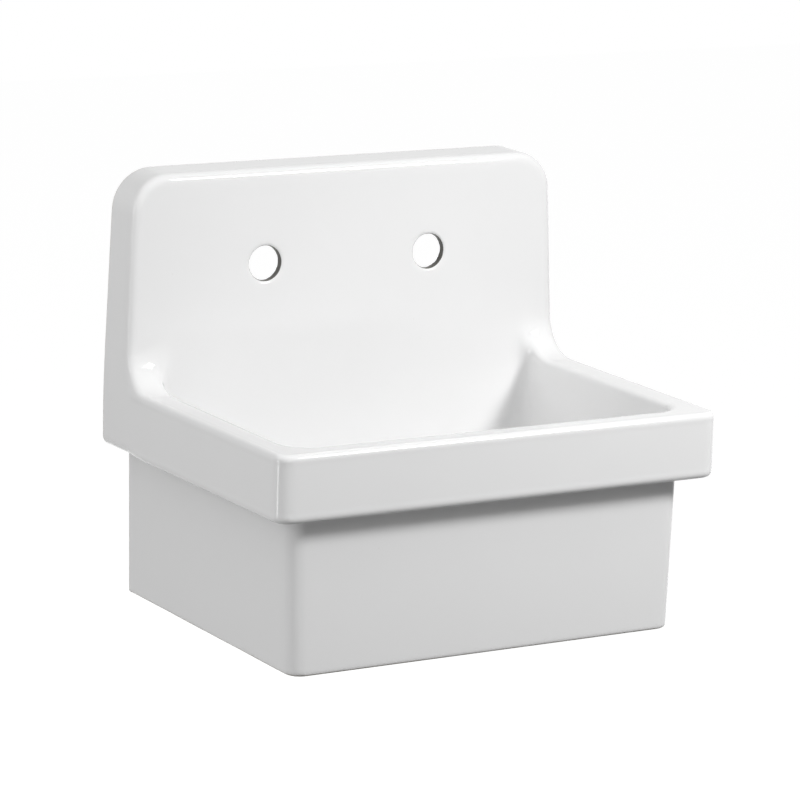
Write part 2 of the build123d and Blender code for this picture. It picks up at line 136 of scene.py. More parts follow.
class Value:
    """A shader socket that can be used in Python arithmetic."""

    def __init__(self, shader, socket):
        self.shader = shader
        self.socket = socket

    def maths(self, operation, other=None, reflected=False):
        pair = (other, self) if reflected else (self, other)
        given = {i: item for i, item in enumerate(pair) if item is not None}
        return self.shader.node("ShaderNodeMath", given, operation=operation)

    def __add__(self, other):
        return self.maths("ADD", other)

    __radd__ = __add__

    def __mul__(self, other):
        return self.maths("MULTIPLY", other)

    def __sub__(self, other):
        return self.maths("SUBTRACT", other)

    def __rsub__(self, other):
        return self.maths("SUBTRACT", other, reflected=True)

    def __gt__(self, other):
        return self.maths("GREATER_THAN", other)

    def __lt__(self, other):
        return self.maths("LESS_THAN", other)

    def __abs__(self):
        return self.maths("ABSOLUTE")

    def largest(self, other):
        return self.maths("MAXIMUM", other)

    def eased(self, low, high):
        """0 below the low value and 1 above the high one, with a soft step between."""
        given = {"Value": self, "From Min": low, "From Max": high}
        return self.shader.node("ShaderNodeMapRange", given, interpolation_type="SMOOTHSTEP")


class Shader:
    """A node tree that is filled node by node."""

    def __init__(self, tree):
        self.tree = tree
        tree.nodes.clear()

    def made(self, kind, given=None, **settings):
        node = self.tree.nodes.new(kind)
        for name, setting in settings.items():
            setattr(node, name, setting)
        for name, item in (given or {}).items():
            socket = node.inputs[name]
            if isinstance(item, Value):
                self.tree.links.new(item.socket, socket)
            else:
                socket.default_value = item
        return node

    def node(self, kind, given=None, output=0, **settings):
        return Value(self, self.made(kind, given, **settings).outputs[output])

    def split(self, vector):
        node = self.made("ShaderNodeSeparateXYZ", {0: vector})
        return [Value(self, socket) for socket in node.outputs]

    def place(self, centre=(0.0, 0.0, 0.0), scale=(1.0, 1.0, 1.0)):
        """Coordinates on the piece, measured from a centre and stretched."""
        coords = self.node("ShaderNodeTexCoord", output="Object")
        back = [-c * s for c, s in zip(centre, scale)]
        return self.node("ShaderNodeMapping", {"Vector": coords, "Location": back, "Scale": scale})

    def noise(self, place, scale, detail, roughness=0.5):
        given = {"Vector": place, "Scale": scale, "Detail": detail, "Roughness": roughness}
        return self.node("ShaderNodeTexNoise", given)

    def cells(self, place, scale, output="Distance"):
        return self.node("ShaderNodeTexVoronoi", {"Vector": place, "Scale": scale}, output=output)

    def blend(self, mask, first, second):
        """One colour where the mask is 0, the other where it is 1."""
        pair = [item if isinstance(item, Value) else (*item, 1.0) for item in (first, second)]
        return self.node("ShaderNodeMix", {0: mask, 6: pair[0], 7: pair[1]}, output=2, data_type="RGBA")

    def bump(self, height, distance, under=None):
        given = {"Height": height, "Strength": 1.0, "Distance": distance}
        if under is not None:
            given["Normal"] = under
        return self.node("ShaderNodeBump", given)

    def finish(self, given):
        surface = self.node("ShaderNodeBsdfPrincipled", given)
        self.made("ShaderNodeOutputMaterial", {"Surface": surface})


def new_material(name):
    material = bpy.data.materials.new(name)
    material.use_nodes = True
    return material, Shader(material.node_tree)


def darker(tint, share):
    return tuple(part * share for part in tint)


def china_material():
    """Glaze over the front and sides, bare clay behind, inside and along the ground edges.

    The walls of the faucet holes are painted near black, as painted shade.
    """
    look = bpy.context.scene.sink_china
    material, shader = new_material("glazed_china")
    place = shader.place()
    x, y, z = shader.split(place)
    nx, ny, nz = shader.split(shader.node("ShaderNodeTexCoord", output="Normal"))
    speck_tint, grain_tint = (0.42, 0.38, 0.32), (0.40, 0.35, 0.29)
    # Places on the casting where one surface ends and the next starts, in metres
    glaze_wander, glaze_end, splash_lean = 0.006, -0.0515, 0.0239
    hollow_side, hollow_top, hollow_middle = 0.2, 0.2205, 0.05
    apron_glaze, basin_middle = -0.163, 0.2
    ground_back, ground_foot = -0.0006, -0.2394
    hole_side, hole_height, hole_radius, hole_end = 0.1016, 0.126, 0.0198, -0.030

    wander = (shader.noise(place, scale=40.0, detail=4.0) - 0.5) * glaze_wander
    behind = y + wander - z * splash_lean > glaze_end
    core = (abs(x) < hollow_side) * (z < hollow_top)
    turned_in = nx * x + nz * (z - hollow_middle) < 0.0
    upper = behind * core.largest(turned_in).largest(ny > 0.5)
    inner = (nx * x + ny * (y + basin_middle) < 0.0).largest(nz < -0.5)
    under = (z + wander < apron_glaze) * inner
    ground = (y > ground_back).largest(z + wander * 0.05 < ground_foot)
    bare = upper.largest(under).largest(ground)
    # Mask of the faucet holes' walls, which are given a near-black colour below as painted shade
    across, above = abs(x) - hole_side, z - hole_height
    bore = (across * across + above * above < hole_radius ** 2) * (y < hole_end)

    slow = shader.noise(place, scale=9.0, detail=2.0)
    cloud = shader.noise(place, scale=60.0, detail=5.0, roughness=0.65)
    speck_place = shader.noise(place, scale=7.0, detail=1.0)
    speck = (shader.cells(place, 55.0) < 0.018) * (speck_place > 0.55)
    glaze = shader.blend(slow, look.glaze, darker(look.glaze, 0.975))
    glaze = shader.blend(speck * 0.5, glaze, speck_tint)
    clay = shader.blend(cloud.eased(0.35, 0.7), look.clay, darker(look.clay, 0.84))
    grains = shader.noise(place, scale=700.0, detail=2.0) > 0.66
    clay = shader.blend(grains * 0.5, clay, grain_tint)
    mist = (cloud * 0.6 + slow * 0.4).eased(0.50, 0.60) * 0.55
    clay = shader.blend(mist, clay, look.glaze)

    wave = shader.bump(shader.noise(place, scale=16.0, detail=1.0), look.ripple)
    peel = shader.bump(shader.noise(place, scale=90.0, detail=2.0), look.ripple * 0.12, wave)
    grit = shader.noise(place, scale=650.0, detail=4.0, roughness=0.7) * bare
    skin = shader.bump(grit, 0.35 * MM, peel)
    rough = look.gloss + slow * 0.04
    outside = shader.blend(bare, glaze, clay)
    shader.finish(
        {
            # The faucet holes' walls get a near-black colour here: painted shade
            "Base Color": shader.blend(bore, outside, darker(look.clay, 0.16)),
            "Roughness": rough * (1.0 - bare) + (0.82 - mist * 0.35) * bare,
            "IOR": 1.5,
            "Normal": skin,
        }
    )
    return material


def zinc_material():
    """Zinc plating: a soft crystalline bloom, fine scratches and dull patches."""
    look = bpy.context.scene.sink_metal
    material, shader = new_material("zinc_plating")
    place = shader.place()
    bloom = shader.cells(place, 260.0, "Color")
    tone = shader.node("ShaderNodeRGBToBW", {0: bloom})
    dull = shader.noise(place, scale=55.0, detail=4.0, roughness=0.6)
    scratch = shader.noise(shader.place(scale=(1.0, 18.0, 1.0)), scale=260.0, detail=2.0)
    dull_tint = (0.50, 0.50, 0.49)
    tint = shader.blend(tone * 0.45, look.zinc, darker(look.zinc, 0.78))
    tint = shader.blend(dull.eased(0.5, 0.75) * 0.5, tint, dull_tint)
    relief = shader.bump(tone, 0.02 * MM, shader.bump(scratch, 0.04 * MM))
    shader.finish(
        {
            "Base Color": tint,
            "Metallic": 1.0,
            "Roughness": 0.27 + tone * 0.12 + dull * 0.18,
            "Normal": relief,
        }
    )
    return material


def rings_from_drain(shader, scale):
    """Noise drawn out round the drain's axis, as a lathe or a polishing wheel leaves it."""
    stretch = 0.06
    x, y, z = shader.split(shader.place(centre=DRAIN))
    radius = shader.node("ShaderNodeMath", {0: x * x + y * y, 1: 0.5}, operation="POWER")
    along = shader.node("ShaderNodeCombineXYZ", {0: radius, 1: z, 2: (x + y) * stretch})
    return shader.noise(along, scale=scale, detail=3.0, roughness=0.6)


def steel_material():
    """Stainless steel polished on a wheel, with rings round the drain and faint wear."""
    look = bpy.context.scene.sink_metal
    material, shader = new_material("polished_steel")
    rings = rings_from_drain(shader, 1500.0)
    wear = shader.noise(shader.place(), scale=70.0, detail=5.0, roughness=0.65)
    tint = shader.blend(wear.eased(0.45, 0.8) * 0.6, look.steel, darker(look.steel, 0.86))
    shader.finish(
        {
            "Base Color": tint,
            "Metallic": 1.0,
            "Roughness": 0.12 + rings * 0.14 + wear.eased(0.5, 0.8) * 0.10,
            "Normal": shader.bump(rings, 0.012 * MM),
        }
    )
    return material


def plated_material():
    """Bright plating over brass, with a few dull marks of handling."""
    look = bpy.context.scene.sink_metal
    material, shader = new_material("bright_plating")
    marks = shader.noise(shader.place(), scale=85.0, detail=5.0, roughness=0.6)
    fine = shader.noise(shader.place(scale=(1.0, 1.0, 9.0)), scale=420.0, detail=2.0)
    tint = shader.blend(marks.eased(0.5, 0.8) * 0.5, look.plating, darker(look.plating, 0.88))
    shader.finish(
        {
            "Base Color": tint,
            "Metallic": 1.0,
            "Roughness": 0.06 + marks.eased(0.48, 0.75) * 0.14 + fine * 0.04,
            "Normal": shader.bump(fine, 0.01 * MM),
        }
    )
    return material


def brass_material():
    """Brass as it comes from the mould: grainy, with dark tarnish in patches."""
    look = bpy.context.scene.sink_metal
    material, shader = new_material("cast_brass")
    place = shader.place()
    grain = shader.noise(place, scale=520.0, detail=5.0, roughness=0.7)
    patch = shader.noise(place, scale=48.0, detail=4.0, roughness=0.6).eased(0.42, 0.68)
    tarnish = (0.33, 0.24, 0.13)
    tint = shader.blend(patch * 0.7, look.brass, tarnish)
    shader.finish(
        {
            "Base Color": shader.blend(grain * 0.3, tint, darker(look.brass, 0.6)),
            "Metallic": 1.0,
            "Roughness": 0.36 + grain * 0.22 + patch * 0.15,
            "Normal": shader.bump(grain, 0.18 * MM),
        }
    )
    return material


def rubber_material():
    """Black rubber with a grey bloom and a fine moulded grain."""
    look = bpy.context.scene.sink_soft
    material, shader = new_material("black_rubber")
    place = shader.place()
    bloom = shader.noise(place, scale=65.0, detail=5.0, roughness=0.6).eased(0.42, 0.8)
    grain = shader.noise(place, scale=1400.0, detail=2.0)
    grey = (0.11, 0.11, 0.11)
    shader.finish(
        {
            "Base Color": shader.blend(bloom * 0.55, look.rubber, grey),
            "Roughness": 0.52 + bloom * 0.25 + grain * 0.08,
            "Normal": shader.bump(grain, 0.06 * MM),
        }
    )
    return material


def fibre_material():
    """Pressed fibre: short strands in several browns."""
    look = bpy.context.scene.sink_soft
    material, shader = new_material("pressed_fibre")
    one = shader.noise(shader.place(scale=(1.0, 7.0, 2.0)), scale=330.0, detail=3.0, roughness=0.6)
    other = shader.noise(shader.place(scale=(7.0, 1.0, 2.0)), scale=300.0, detail=3.0, roughness=0.6)
    strands = one.largest(other)
    pale = (0.60, 0.48, 0.33)
    tint = shader.blend(strands.eased(0.42, 0.75), darker(look.fibre, 0.62), look.fibre)
    shader.finish(
        {
            "Base Color": shader.blend((one > 0.66) * 0.5, tint, pale),
            "Roughness": 0.78 + strands * 0.15,
            "Normal": shader.bump(strands, 0.1 * MM),
        }
    )
    return material


def plastic_material():
    """Moulded plastic: faintly clouded, with a satin skin."""
    look = bpy.context.scene.sink_soft
    material, shader = new_material("moulded_plastic")
    place = shader.place()
    cloud = shader.noise(place, scale=90.0, detail=3.0)
    skin = shader.noise(place, scale=1100.0, detail=2.0)
    shader.finish(
        {
            "Base Color": shader.blend(cloud, look.plastic, darker(look.plastic, 0.94)),
            "Roughness": 0.30 + cloud * 0.12 + skin * 0.06,
            "IOR": 1.47,
            "Normal": shader.bump(skin, 0.03 * MM),
        }
    )
    return material


# The record's finishes and what each is made by
FINISHES = {
    "china": china_material,
    "zinc_plated_steel": zinc_material,
    "polished_steel": steel_material,
    "plated_brass": plated_material,
    "cast_brass": brass_material,
    "rubber": rubber_material,
    "fibre": fibre_material,
    "plastic": plastic_material,
}
SLOTS = {part["node"]: part["material_slot"] for part in frame["record"]["subparts"]}
# Materials made so far, by finish
MADE = {}


# Workshop

def only(*things):
    """Select these objects alone, the first of them active."""
    bpy.ops.object.select_all(action="DESELECT")
    for thing in things:
        thing.select_set(True)
    bpy.context.view_layer.objects.active = things[0]


def in_edit(piece):
    """Open a piece's mesh with everything in it selected."""
    only(piece)
    bpy.ops.object.mode_set(mode="EDIT")
    bpy.ops.mesh.select_mode(type="VERT")
    bpy.ops.mesh.select_all(action="SELECT")


def out_of_edit():
    bpy.ops.object.mode_set(mode="OBJECT")
    return bpy.context.object


def named(piece, name):
    piece.name = piece.data.name = name
    return piece


def copy_of(node, name):
    """A free, merged copy of a CAD node's mesh."""
    only(frame["nodes"][node])
    bpy.ops.object.duplicate()
    copy = named(bpy.context.object, name)
    copy.parent = None
    in_edit(copy)
    bpy.ops.mesh.customdata_custom_splitnormals_clear()
    bpy.ops.mesh.remove_doubles(threshold=1e-5)
    return out_of_edit()


def finish_with(piece, kind, **settings):
    """Add a modifier to a piece and apply it."""
    only(piece)
    modifier = piece.modifiers.new(kind.lower(), kind)
    for name, setting in settings.items():
        setattr(modifier, name, setting)
    bpy.ops.object.modifier_apply(modifier=modifier.name)
    return piece


def soften(piece, width, segments=2, angle=28.0):
    """Round a piece's sharp edges by a width in millimetres."""
    return finish_with(
        piece, "BEVEL", width=width * MM, segments=segments,
        limit_method="ANGLE", angle_limit=math.radians(angle),
    )


def cut(piece, tool, operation="DIFFERENCE"):
    """Cut a piece with another solid, or keep what both share, and throw the tool away.

    Points that the cut leaves side by side are merged.
    """
    finish_with(piece, "BOOLEAN", operation=operation, object=tool, solver="EXACT")
    bpy.data.objects.remove(tool)
    in_edit(piece)
    bpy.ops.mesh.remove_doubles(threshold=2e-6)
    return out_of_edit()


def joined(first, *others):
    only(first, *others)
    bpy.ops.object.join()
    return first


def moved(piece, turned=(0.0, 0.0, 0.0), to=(0.0, 0.0, 0.0)):
    """Turn a piece in degrees and move it, both into its mesh."""
    only(piece)
    piece.rotation_euler = [math.radians(part) for part in turned]
    piece.location = to
    bpy.ops.object.transform_apply()
    return piece


def repeated(piece, places):
    """The same piece at each place, every copy with its own mesh, as one object."""
    copies = []
    for place in places[1:]:
        only(piece)
        bpy.ops.object.duplicate()
        copies.append(moved(bpy.context.object, to=place))
    moved(piece, to=places[0])
    return joined(piece, *copies)


def in_ring(piece, count, centre):
    """The same piece turned about an upright axis, every copy with its own mesh."""
    copies = []
    for i in range(1, count):
        only(piece)
        bpy.ops.object.duplicate()
        copy = bpy.context.object
        in_edit(copy)
        bpy.ops.transform.rotate(value=math.tau * i / count, orient_axis="Z", center_override=centre)
        copies.append(out_of_edit())
    return joined(piece, *copies)


def eased_corners(section, steps):
    """A section in which each corner given with a radius is rounded, within its sides' halves."""
    most = 0.49
    points = []
    for i, (r, z, *radius) in enumerate(section):
        here = Vector((r, z))
        if not radius:
            points.append(here)
            continue
        before = Vector(section[i - 1][:2]) - here
        after = Vector(section[(i + 1) % len(section)][:2]) - here
        reach = min(radius[0], before.length * most, after.length * most)
        start, end = here + before.normalized() * reach, here + after.normalized() * reach
        for step in range(steps + 1):
            t = step / steps
            points.append(start * (1 - t) ** 2 + here * 2 * t * (1 - t) + end * t ** 2)
    return points


def thread(radius, depth, top, foot, pitch):
    """Points of a thread's outline, running down a cylinder."""
    crest, crest_end, root = 0.35, 0.5, 0.85
    points = [(radius - depth, top)]
    z = top
    while z - pitch > foot:
        points += [(radius, z - pitch * crest), (radius, z - pitch * crest_end)]
        points.append((radius - depth, z - pitch * root))
        z -= pitch
    return points + [(radius - depth, foot)]


def turn(name, section, at=DRAIN, segments=96, steps=4):
    """Turn a piece on the lathe, from a section in millimetres.

    A circle is drawn out from point to point of the section.
    """
    least = 0.001 * MM
    points = [Vector((max(r * MM, least), z * MM)) for r, z in eased_corners(section, steps)]
    bpy.ops.object.select_all(action="DESELECT")
    bpy.ops.mesh.primitive_circle_add(vertices=segments, radius=points[0].x, location=(0, 0, points[0].y))
    piece = named(bpy.context.object, name)
    bpy.ops.object.transform_apply()
    in_edit(piece)
    for before, there in zip(points, [*points[1:], points[0]]):
        bpy.ops.mesh.extrude_edges_move(TRANSFORM_OT_translate={"value": (0.0, 0.0, there.y - before.y)})
        grow = there.x / before.x
        bpy.ops.transform.resize(value=(grow, grow, 1.0), center_override=(0.0, 0.0, there.y))
    bpy.ops.mesh.select_all(action="SELECT")
    bpy.ops.mesh.remove_doubles(threshold=least * 2.5)
    bpy.ops.mesh.normals_make_consistent(inside=False)
    return moved(out_of_edit(), to=at)


def hexagon(name, radius, low, high, both=False):
    """A hexagon with corners along X, its upper corners chamfered as on a lathe, or both ends'."""
    past, bite, slope = 1, 0.2, math.radians(30)
    middle, height = (low + high) / 2 * MM, (high - low) * MM
    bpy.ops.object.select_all(action="DESELECT")
    bpy.ops.mesh.primitive_cylinder_add(
        vertices=6, radius=radius * MM, depth=height, location=(0, 0, middle)
    )
    piece = moved(named(bpy.context.object, name), (0, 0, 30), (0, 0, middle))
    soften(piece, radius * 0.02, 3, 50.0)
    outer, flat = radius + past, radius * math.cos(slope) - bite
    fall = (outer - flat) * math.tan(slope)
    foot = [(flat, low), (outer, low + fall)] if both else [(outer, low - past)]
    barrel = [(0, foot[0][1]), *foot, (outer, high - fall), (flat, high), (0, high)]
    return cut(piece, turn("barrel", barrel, (0, 0, 0), 72), "INTERSECT")


def block(name, low, high, edge):
    """A block between two corners, in millimetres, with rounded edges."""
    low, high = Vector(low) * MM, Vector(high) * MM
    bpy.ops.object.select_all(action="DESELECT")
    bpy.ops.mesh.primitive_cube_add(size=1.0, location=(low + high) / 2, scale=high - low)
    piece = named(bpy.context.object, name)
    bpy.ops.object.transform_apply()
    return soften(piece, edge, 3)


def dressed(piece, node, body="sink", angle=32.0):
    """Shade a finished piece, give it its node's finish and let it stand for the node.

    Faces that meet at less than the angle are shaded as one. Pieces with a small angle have flat
    faces, and those are shaded flat up to their rounded edges.
    """
    soft_form = 60
    only(piece)
    bpy.ops.object.shade_smooth_by_angle(angle=math.radians(angle))
    if angle < soft_form:
        finish_with(piece, "WEIGHTED_NORMAL", keep_sharp=True)
    finish = SLOTS[node]
    if finish not in MADE:
        MADE[finish] = FINISHES[finish]()
    piece.data.materials.clear()
    piece.data.materials.append(MADE[finish])
    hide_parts(node)
    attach(piece, body)
    return piece


def fullness(inward, down, radius):
    """How far a point of a round edge goes out to tighten it: 0 at the round's ends, 1 midway."""
    squareness, full = 3, 8.16
    u, v = 1 - inward / radius, 1 - down / radius
    if u <= 0 or v <= 0:
        return 0.0
    reach = math.hypot(u, v)
    outward = ((u / reach) ** squareness + (v / reach) ** squareness) ** (-1 / squareness)
    return outward * full - full


def weigh(piece, name, weight_at):
    """A vertex group whose weights come from each vertex's place."""
    least = 0.01
    group = piece.vertex_groups.new(name=name)
    for vertex in piece.data.vertices:
        weight = weight_at(vertex.co)
        if weight > least:
            group.add([vertex.index], min(weight, 1.0), "REPLACE")
    return group.name


class SINK_OT_china(Operator):
    """Cast and glaze the china"""

    bl_idname = "sink.china"
    bl_label = "China casting"

    def grind_back(self, casting):
        """Cut the back off just in front of the wall, and move the flat cut face onto the wall."""
        depth = 0.003
        in_edit(casting)
        bpy.ops.mesh.bisect(
            plane_co=(0, -depth, 0), plane_no=(0, 1, 0), use_fill=True, clear_outer=True
        )
        bpy.ops.transform.translate(value=(0, depth, 0))
        out_of_edit()

    def rim_edges(self, at):
        """Weight of the rim's outer edges, above and below, away from the splashback."""
        depth, height, corner, upper_round, lower_round = 0.398, 0.071, 0.018, 0.011, 0.012
        half_front, taper, fade_start, fade = 0.263, 0.0138, -0.055, 0.03
        from_front = at.y + depth
        from_side = half_front + taper * from_front - abs(at.x)
        inward = min(from_front, from_side)
        if max(from_front, from_side) < corner:
            inward = corner - math.hypot(corner - from_front, corner - from_side)
        above = fullness(inward, -at.z, upper_round)
        below = fullness(inward, at.z + height, lower_round)
        return max(above, below) * min(max((fade_start - at.y) / fade, 0.0), 1.0)

    def ease_coves(self, casting):
        """Smooth the two saddles where the coves run out over the rim."""
        reach, core = 0.022, 1.6
        saddles = [Vector((side * 0.222, -0.062, 0.030)) for side in (-1, 1)]
        near = weigh(casting, "near", lambda at: core - min((at - s).length for s in saddles) / reach)
        finish_with(casting, "SMOOTH", factor=0.5, iterations=80, vertex_group=near)

    def execute(self, context):
        ground, tightening = 0.004, 0.0021
        casting = copy_of("sink_body", "china_casting")
        finish_with(casting, "REMESH", mode="VOXEL", voxel_size=context.scene.sink_china.grain)
        self.grind_back(casting)
        soft = weigh(casting, "soft", lambda at: 1.0 if at.y < -ground else 0.0)
        finish_with(casting, "SMOOTH", factor=0.5, iterations=6, vertex_group=soft)
        edges = weigh(casting, "edges", self.rim_edges)
        finish_with(casting, "DISPLACE", strength=tightening, mid_level=0.0, vertex_group=edges)
        self.ease_coves(casting)
        finish_with(casting, "DECIMATE", ratio=0.25)
        casting.vertex_groups.clear()
        dressed(casting, "sink_body", angle=70.0)
        return {"FINISHED"}


# Wall screws: X and Z of each, and Y of the face that the washer sits on, in millimetres
RAIL_SCREWS = [(x, -3.0, z) for x in (-96, 96) for z in (-13, 13)]
LUG_SCREWS = [(x, -15.0, -210.0) for x in (-202, 202)]
TO_WALL = (90, 0, 0)
WASHER, CUSHION = 1.6, 3.0
WASHER_SECTION = [(4.3, 0, 0.1), (11, 0, 0.15), (11, WASHER, 0.6), (4.3, WASHER, 0.35)]


def raised(places, height):
    """The same screws' places, further from the wall."""
    return [(x, y - height, z) for x, y, z in places]


def wall_ring(name, section, places):
    """A ring on each wall screw, its section drawn with the wall below it."""
    ring = moved(turn(name, section, (0, 0, 0), 64), TO_WALL)
    return repeated(ring, [Vector(place) * MM for place in places])


def wall_screw(name, shank, places):
    """Hexagon-head screws: washer face, plain shank, thread and point."""
    pitch = bpy.context.scene.sink_metal.screw_pitch / MM
    collar, plain, core, crest, tip = 6.2, 4.0, 2.6, 3.5, 0.9
    threaded, run_out, shoulder, tooth = 40.0, 1.5, 0.6, 0.733
    top, end = -shank - shoulder, -shank - threaded
    body = [(0, 2), (collar, 2), (collar, 0, 0.2), (plain, 0, 0.3), (plain, -shank, 0.5)]
    body += [(core, top), (core, end), (tip, end - 5.6, 0.4), (0, end - 6)]
    screw = turn(name, body, (0, 0, 0), 40)
    head = hexagon("head", 7.5, 0.4, 5.5)
    bpy.ops.object.select_all(action="DESELECT")
    middle = (crest * MM - tooth * MM, 0.0, top * MM)
    turned = (math.radians(90), math.radians(90), 0.0)
    bpy.ops.mesh.primitive_circle_add(vertices=3, radius=tooth * MM, location=middle, rotation=turned)
    ridge = bpy.context.object
    bpy.ops.object.transform_apply()
    turns = int((-shank - end - run_out) / pitch)
    finish_with(
        ridge, "SCREW", axis="Z", screw_offset=-pitch * MM, iterations=turns,
        steps=24, render_steps=24, use_merge_vertices=False, use_smooth_shade=False,
    )
    in_edit(ridge)
    bpy.ops.mesh.remove_doubles(threshold=1e-6)
    bpy.ops.mesh.fill_holes(sides=3)
    bpy.ops.mesh.select_all(action="SELECT")
    bpy.ops.mesh.normals_make_consistent(inside=False)
    screw = moved(joined(screw, head, out_of_edit()), TO_WALL)
    return repeated(screw, [Vector(place) * MM for place in places])


class SINK_OT_hanger(Operator):
    """Make the rail, its screws and washers"""

    bl_idname = "sink.hanger"
    bl_label = "Wall hanger"

    def execute(self, context):
        rail = copy_of("wall_hanger", "formed_rail")
        in_edit(rail)
        bpy.ops.mesh.dissolve_limited(angle_limit=math.radians(0.5))
        dressed(soften(out_of_edit(), 0.45), "wall_hanger")
        dressed(wall_ring("rail_washers", WASHER_SECTION, RAIL_SCREWS), "hanger_washers")
        shank = 3.6
        dressed(wall_screw("rail_screws", shank, raised(RAIL_SCREWS, WASHER)), "hanger_screws")
        return {"FINISHED"}


class SINK_OT_anchors(Operator):
    """Make the lower screws, their washers and rubber rings"""

    bl_idname = "sink.anchors"
    bl_label = "Lower anchors"

    def execute(self, context):
        cushion = [
            (4.4, 0, 0.5), (11.8, 0, 0.7), (12.2, CUSHION / 2, 1.0), (11.8, CUSHION, 0.7),
            (4.4, CUSHION, 0.5),
        ]
        dressed(wall_ring("rubber_cushions", cushion, raised(LUG_SCREWS, -CUSHION)), "anchor_cushions")
        dressed(wall_ring("lug_washers", WASHER_SECTION, LUG_SCREWS), "anchor_washers")
        shank = 15.6
        dressed(wall_screw("lug_screws", shank, raised(LUG_SCREWS, WASHER)), "anchor_screws")
        return {"FINISHED"}


# Heights of the faces where the drain's pieces meet, in millimetres
FLANGE_FOOT = -156.6
DISH = -158.6
CHINA_FOOT = -169
RUBBER_FOOT = -173
FIBRE_FOOT = -174.5
BASKET_FLOOR, BASKET_FOOT = -187.5, -188.7
CUP_FLOOR, CUP_FOOT = -200, -202.5
SPIDER_FOOT = -205.5
NECK_FOOT = -220.5
TUBE_TOP, COLLAR_FOOT = -223, -224.6
POST_TOP = -166.4
DISC_TOP = -195.2


class SINK_OT_drain(Operator):
    """Make the drain cup with the rings and nuts that hold it"""

    bl_idname = "sink.drain"
    bl_label = "Drain"

    def cup(self, pitch):
        """Cup with flange, ledge, neck and threads, and a spider that guides the stopper's post."""
        section = [
            (57, FLANGE_FOOT, 0.2), (57, -155.5, 0.8), (54.5, -155.0, 1.5), (46, -155.5, 2.0),
            (42.4, -156.4, 1.5), (40.9, -158.6, 1.5), (40.9, -167, 0.5), (38.5, -167, 0.6),
            (38.5, -197.5, 2.5), (35.8, CUP_FLOOR, 3.0), (20.5, CUP_FLOOR, 1.0), (20.5, NECK_FOOT, 0.3),
            *reversed(thread(23.9, 0.7, -205.0, NECK_FOOT, pitch)),
            (23.2, CUP_FOOT, 0.4), (37.5, CUP_FOOT, 2.0), (42.4, -197.6, 2.0),
            *reversed(thread(42.5, 0.75, -158.5, -195.5, pitch)),
            (41.75, FLANGE_FOOT, 0.2),
        ]
        cup = turn("drain_cup", section, segments=128)
        low, high = DRAIN / MM + Vector((5, -2, SPIDER_FOOT)), DRAIN / MM + Vector((22.1, 2, CUP_FOOT))
        arms = in_ring(block("arm", low, high, 0.7), 4, DRAIN)
        hub = [
            (2.56, SPIDER_FOOT, 0.3), (6.5, SPIDER_FOOT, 0.8), (6.5, CUP_FOOT, 0.8),
            (2.56, CUP_FOOT, 0.3),
        ]
        return joined(cup, arms, turn("hub", hub, segments=48))

    def locknut(self, pitch):
        """Threaded ring with eight lugs for a wrench."""
        section = [
            (43.4, FIBRE_FOOT, 0.2), (53, FIBRE_FOOT, 0.8), (52.2, -184.5, 1.4), (43.6, -184.5, 0.5),
            *reversed(thread(43.4, 0.8, -175.4, -183.6, pitch)),
        ]
        ring = turn("cast_locknut", section, segments=128)
        low, high = DRAIN / MM + Vector((50, -6, -184.0)), DRAIN / MM + Vector((57.9, 6, -174.9))
        return joined(ring, in_ring(block("lug", low, high, 1.5), 8, DRAIN))

    def coupling(self, pitch):
        """Hexagon nut with a thread inside and a floor under the outlet tube's collar."""
        nut = hexagon("coupling_hexagon", 32.85, -227.6, -204.6, both=True)
        bore = [
            (0, -229), (19.7, -229), (19.7, COLLAR_FOOT), (24.0, COLLAR_FOOT),
            *reversed(thread(24.7, 0.75, -206.2, -223.4, pitch)),
            (25.4, -204.6), (25.4, -203), (0, -203),
        ]
        return moved(cut(nut, turn("bore", bore, (0, 0, 0), 96)), to=DRAIN)

    def rings(self):
        """Rubber above and below the china, and the fibre ring that the locknut slides on."""
        gasket = [
            (45.1, DISH, 0.4), (55.2, DISH, 0.6), (55.5, -157.6, 0.6), (55.2, FLANGE_FOOT, 0.6),
            (45.1, FLANGE_FOOT, 0.4),
        ]
        dressed(turn("rim_gasket", gasket), "flange_gasket")
        gasket = [
            (42.9, RUBBER_FOOT, 0.5), (55.7, RUBBER_FOOT, 0.9), (56.4, -171, 1.4),
            (55.7, CHINA_FOOT, 0.9), (42.9, CHINA_FOOT, 0.5),
        ]
        dressed(turn("floor_gasket", gasket), "under_gasket")
        ring = [
            (42.8, FIBRE_FOOT, 0.15), (56, FIBRE_FOOT, 0.25), (56, RUBBER_FOOT, 0.25),
            (42.8, RUBBER_FOOT, 0.15),
        ]
        dressed(turn("fibre_ring", ring), "friction_ring")

    def execute(self, context):
        pitch = context.scene.sink_metal.drain_pitch / MM
        dressed(self.cup(pitch), "strainer_body")
        self.rings()
        dressed(self.locknut(pitch), "locknut")
        dressed(self.coupling(pitch), "coupling_nut")
        return {"FINISHED"}


class SINK_OT_outlet(Operator):
    """Make the outlet tube and its washer"""

    bl_idname = "sink.outlet"
    bl_label = "Outlet"

    def execute(self, context):
        tube = [
            (17.85, TUBE_TOP, 0.3), (22.8, TUBE_TOP, 0.5), (22.8, COLLAR_FOOT, 0.6),
            (19.4, COLLAR_FOOT, 0.3), (19.4, -227.8, 0.5), (19.05, -228.4, 0.5), (19.05, -272, 0.35),
            (17.85, -272, 0.35),
        ]
        dressed(turn("outlet_tube", tube), "tailpiece")
        washer = [
            (19.1, TUBE_TOP, 0.3), (23.8, TUBE_TOP, 0.3), (23.8, -221.7, 0.5), (22.6, NECK_FOOT, 0.4),
            (19.1, NECK_FOOT, 0.3),
        ]
        dressed(turn("tapered_washer", washer), "tailpiece_washer")
        return {"FINISHED"}


